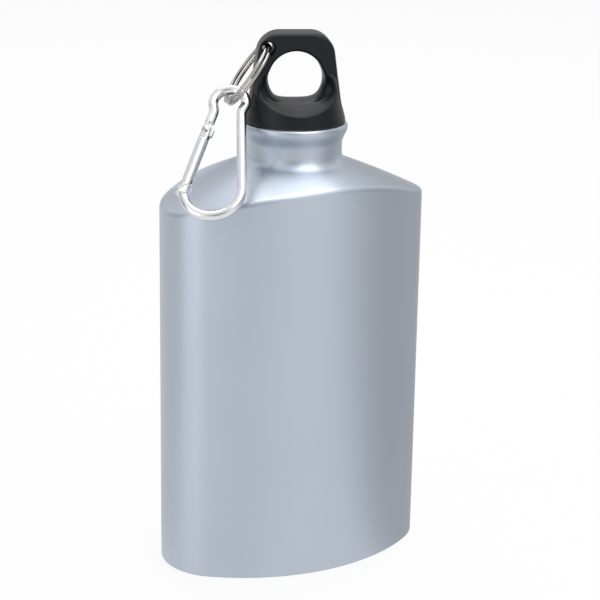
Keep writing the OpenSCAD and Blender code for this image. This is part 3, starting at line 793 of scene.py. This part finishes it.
def gate_distance(x, y, z):
    """Distance to the drilled and slotted gate, in millimetres from its rivet."""
    tube = round_meet(np.hypot(x, z) - gate_radius, np.maximum(y - gate_top, -gate_foot - y), gate_edge)
    tube = round_meet(tube, np.where(y > -fork_depth, np.abs(z) - fork_half_width, well_inside), fork_edge)
    tube = round_meet(tube, -np.maximum(np.abs(z) - fork_half_gap, -fork_depth - y), gap_edge)
    tube = round_meet(tube, -np.maximum(np.abs(z) - slot_half_gap, y + slot_top), gap_edge)
    tube = np.maximum(tube, gate_bore - np.hypot(x, y))
    return np.maximum(tube, -np.maximum(np.hypot(x, z) - spring_bore, -spring_bore_foot - y))


satin, shader = new_material("tumbled gate", Metallic=1.0)
rub = noise_on(satin, Scale=420, Detail=2)
two_tones(satin, shader, rub, (0.58, 0.59, 0.61), (0.66, 0.67, 0.69))
uneven_gloss(satin, shader, rub, 0.2, 0.26)
gate_mesh = skin_of(gate_distance, *gate_room, gate_step, "gate")
gate_mesh.transform(gate_place @ Matrix.Scale(mm, 4))
gate_mesh.materials.append(satin)
new_piece("gate", gate_mesh, "gate", "gate_metal", "carabiner_gate")

# Rivet: a plain nickel-plated pin through the gate's fork and the tang. Both ends are closed to a
# low dome, so that the gate can swing but not come off.
rivet_radius = 0.8
rivet_head_radius = 1.2
rivet_head_edge = 0.06
rivet_reach = 1.5
rivet_dome = 0.45
rivet_columns = 32
rivet_sharp = math.radians(40)
dome_curve = (rivet_head_radius ** 2 + rivet_dome ** 2) / (2 * rivet_dome)
rivet_turns = np.linspace(0, 2 * math.pi, rivet_columns, endpoint=False)
rivet_rows = []
for share in (0.25, 0.5, 0.75, 1):
    r = rivet_head_radius * share
    rivet_rows.append((r, rivet_reach + rivet_dome - dome_curve + math.sqrt(dome_curve ** 2 - r * r)))
rivet_rows += [(rivet_head_radius - rivet_head_edge, rivet_reach), (rivet_radius, rivet_reach)]
rivet_rows = [(r, -z) for r, z in rivet_rows] + rivet_rows[::-1]
rivet_rows = [(np.full(rivet_columns, r), np.full(rivet_columns, z)) for r, z in rivet_rows]
rivet_mesh = closed_rows("rivet", rivet_rows, rivet_turns, -rivet_reach - rivet_dome, rivet_reach + rivet_dome)
rivet_mesh.transform(gate_place @ Matrix.Scale(mm, 4))
rivet_mesh.set_sharp_from_angle(angle=rivet_sharp)
rivet_mesh.materials.append(nickel)
new_piece("rivet", rivet_mesh, "gate", "gate_metal", "gate_rivet")

# Gate spring and plunger: a coil of steel wire in the gate's bore pushes a short pin against the
# foot of the tang, which keeps the gate shut. Both are out of sight in the bore.
spring_low = -14 * mm
spring_high = -7.1 * mm
spring_wire = 0.36 * mm
coil_radius = 0.76 * mm
coil_count = 7
coil_points = 20
coil_rise = spring_high - spring_low - spring_wire
steel, shader = new_material("spring steel", Metallic=1.0)
two_tones(steel, shader, noise_on(steel, Scale=2500, Detail=2), (0.30, 0.30, 0.31), (0.42, 0.42, 0.43))
coil_path = [(coil_radius * math.cos(coil_count * t), coil_radius * math.sin(coil_count * t),
              coil_rise * t / (2 * math.pi)) for t in np.linspace(0, 2 * math.pi, coil_count * coil_points + 1)]
coil_place = (gate_place @ Matrix.Translation((0, spring_low + spring_wire / 2, 0))
              @ Matrix.Rotation(-math.pi / 2, 4, "X"))
coil_mesh = swept("coil_spring", coil_path, coil_place, steel, **{
    "Width": spring_wire, "Thickness": spring_wire,
    "Edge radius": round_share * spring_wire, "Edge steps": 3})
coil = new_piece("coil_spring", coil_mesh, "gate", "spring_steel", "gate_spring")
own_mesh(coil)
dress("gate_plunger", steel)

# Camera and floor: the view that the photograph has, and a pale table top that runs out of sight.
# The table is white where it is looked at. Where it is mirrored it glows with painted shade, dimmer towards the
# right and the far side, and it keeps a soft shadow.
camera_height = 0.27661
camera_out = 0.61025
camera_azimuth = math.radians(-27.173)
camera_pan = math.radians(-0.2694)
camera_pitch = math.radians(17.161)
camera_roll = math.radians(0.963)
photo_focal = 1888.9
photo_size = 600
sensor_width = 36
heading = camera_azimuth + camera_pan
level = Vector((-math.sin(heading), math.cos(heading), 0))
ahead = level * math.cos(camera_pitch) - Vector((0, 0, 1)) * math.sin(camera_pitch)
right = Vector((math.cos(heading), math.sin(heading), 0))
above = right.cross(ahead)
right, above = (right * math.cos(camera_roll) + above * math.sin(camera_roll),
                above * math.cos(camera_roll) - right * math.sin(camera_roll))
camera = bpy.data.objects.new("camera", bpy.data.cameras.new("camera"))
camera.data.sensor_width = sensor_width
camera.data.lens = photo_focal / photo_size * sensor_width
camera.data.clip_start = 0.05
camera.data.clip_end = 20
stand = Vector((camera_out * math.sin(camera_azimuth), -camera_out * math.cos(camera_azimuth), camera_height))
camera.matrix_world = frame_of(right, above, -ahead, stand)
bpy.context.scene.collection.objects.link(camera)
bpy.context.scene.camera = camera

floor_half = 4.0
white_share = 0.9
first_number, second_number = 2, 3
floor_mesh = bpy.data.meshes.new("floor")
floor_mesh.from_pydata([(-floor_half, -floor_half, 0), (floor_half, -floor_half, 0),
                        (floor_half, floor_half, 0), (-floor_half, floor_half, 0)], [], [(0, 1, 2, 3)])
table, shader = new_material("pale table", Roughness=0.8, Base_Color=(0.86, 0.86, 0.86, 1))
rays = add_node(table, "ShaderNodeLightPath")
place = add_node(table, "ShaderNodeTexCoord")
outward = add_node(table, "ShaderNodeVectorMath", operation="NORMALIZE")
across = add_node(table, "ShaderNodeSeparateXYZ")
# Painted shade in the table's glow: in reflections it dims towards the right and the far side, so the bottle's
# right side mirrors a darker table.
painted_shade_right = add_node(table, "ShaderNodeMapRange",
                   {"From Min": 0.5, "From Max": 1.0, "To Min": 1.0, "To Max": 0.57},
                   interpolation_type="SMOOTHSTEP")
painted_shade_far = add_node(table, "ShaderNodeMapRange",
                  {"From Min": 0.0, "From Max": 0.6, "To Min": 1.0, "To Max": 0.85})
graded = add_node(table, "ShaderNodeMath", operation="MULTIPLY")
mirrored = add_node(table, "ShaderNodeMix", {first_number: 1.0})
white = add_node(table, "ShaderNodeEmission", {"Color": (1, 1, 1, 1)})
looked = add_node(table, "ShaderNodeMath", operation="MAXIMUM")
passed = add_node(table, "ShaderNodeMath", operation="MAXIMUM")
seen = add_node(table, "ShaderNodeMath", {1: white_share}, operation="MULTIPLY")
blend = add_node(table, "ShaderNodeMixShader")
join(table, (place.outputs["Object"], outward.inputs[0]),
     (outward.outputs["Vector"], across.inputs["Vector"]),
     (across.outputs["X"], painted_shade_right.inputs["Value"]),
     (across.outputs["Y"], painted_shade_far.inputs["Value"]),
     (painted_shade_right.outputs["Result"], graded.inputs[0]),
     (painted_shade_far.outputs["Result"], graded.inputs[1]),
     (rays.outputs["Is Glossy Ray"], mirrored.inputs["Factor"]),
     (graded.outputs["Value"], mirrored.inputs[second_number]),
     (mirrored.outputs[0], white.inputs["Strength"]),
     (rays.outputs["Is Camera Ray"], looked.inputs[0]),
     (rays.outputs["Is Glossy Ray"], looked.inputs[1]),
     (looked.outputs["Value"], passed.inputs[0]),
     (rays.outputs["Is Transmission Ray"], passed.inputs[1]),
     (passed.outputs["Value"], seen.inputs[0]),
     (seen.outputs["Value"], blend.inputs["Fac"]),
     (shader.outputs["BSDF"], blend.inputs[1]),
     (white.outputs["Emission"], blend.inputs[2]),
     (blend.outputs["Shader"], table.node_tree.nodes["Material Output"].inputs["Surface"]))
floor_mesh.materials.append(table)
floor = bpy.data.objects.new("floor", floor_mesh)
bpy.context.scene.collection.objects.link(floor)

# Studio light: a white room that is dimmer behind the camera, opposite it and at both sides, a long
# soft box overhead and a smaller upright one at the left.
world = bpy.data.worlds.new("studio")
world.use_nodes = True
bpy.context.scene.world = world
backdrop = world.node_tree.nodes["Background"]
backdrop.inputs["Color"].default_value = (1, 1, 1, 1)
rays = add_node(world, "ShaderNodeLightPath")
place = add_node(world, "ShaderNodeTexCoord")
sideways = add_node(world, "ShaderNodeVectorMath", {1: level.cross((0, 0, 1))}, operation="DOT_PRODUCT")
either = add_node(world, "ShaderNodeMath", operation="ABSOLUTE")
flanks = add_node(world, "ShaderNodeMapRange",
                  {"From Min": 0.7, "From Max": 1.0, "To Min": 1.0, "To Max": 0.4})
facing = add_node(world, "ShaderNodeVectorMath", {1: stand.normalized()}, operation="DOT_PRODUCT")
dim = add_node(world, "ShaderNodeMapRange",
               {"From Min": 0.88, "From Max": 1.0, "To Min": 1.0, "To Max": 0.35})
beyond = add_node(world, "ShaderNodeVectorMath", {1: level}, operation="DOT_PRODUCT")
far = add_node(world, "ShaderNodeMapRange",
               {"From Min": 0.6, "From Max": 0.95, "To Min": 1.0, "To Max": 0.57})
both = add_node(world, "ShaderNodeMath", operation="MULTIPLY")
graded = add_node(world, "ShaderNodeMath", operation="MULTIPLY")
mirrored = add_node(world, "ShaderNodeMix", {first_number: 0.6})
looked = add_node(world, "ShaderNodeMath", operation="MAXIMUM")
shown = add_node(world, "ShaderNodeMix", {second_number: 1.0})
join(world, (place.outputs["Generated"], sideways.inputs[0]),
     (sideways.outputs["Value"], either.inputs[0]),
     (either.outputs["Value"], flanks.inputs["Value"]),
     (place.outputs["Generated"], facing.inputs[0]),
     (facing.outputs["Value"], dim.inputs["Value"]),
     (place.outputs["Generated"], beyond.inputs[0]),
     (beyond.outputs["Value"], far.inputs["Value"]),
     (flanks.outputs["Result"], both.inputs[0]),
     (dim.outputs["Result"], both.inputs[1]),
     (both.outputs["Value"], graded.inputs[0]),
     (far.outputs["Result"], graded.inputs[1]),
     (rays.outputs["Is Glossy Ray"], mirrored.inputs["Factor"]),
     (graded.outputs["Value"], mirrored.inputs[second_number]),
     (rays.outputs["Is Camera Ray"], looked.inputs[0]),
     (rays.outputs["Is Transmission Ray"], looked.inputs[1]),
     (looked.outputs["Value"], shown.inputs["Factor"]),
     (mirrored.outputs[0], shown.inputs[first_number]),
     (shown.outputs[0], backdrop.inputs["Strength"]))


def soft_box(name, at, towards, width, height, power):
    """A rectangular lamp that faces a point."""
    lamp = bpy.data.lights.new(name, "AREA")
    lamp.shape = "RECTANGLE"
    lamp.size, lamp.size_y = width, height
    lamp.energy = power
    holder = bpy.data.objects.new(name, lamp)
    holder.location = at
    holder.rotation_euler = (Vector(towards) - Vector(at)).to_track_quat("-Z", "Y").to_euler()
    bpy.context.scene.collection.objects.link(holder)


soft_box("overhead", (0.17, 0.06, 0.95), (0.17, 0.06, 0), 0.56, 1.60, 6.6)
soft_box("left", (-0.66, -0.10, 0.3), (0, 0, 0.3), 0.4, 0.6, 0.45)

bpy.context.scene.view_settings.view_transform = "Standard"
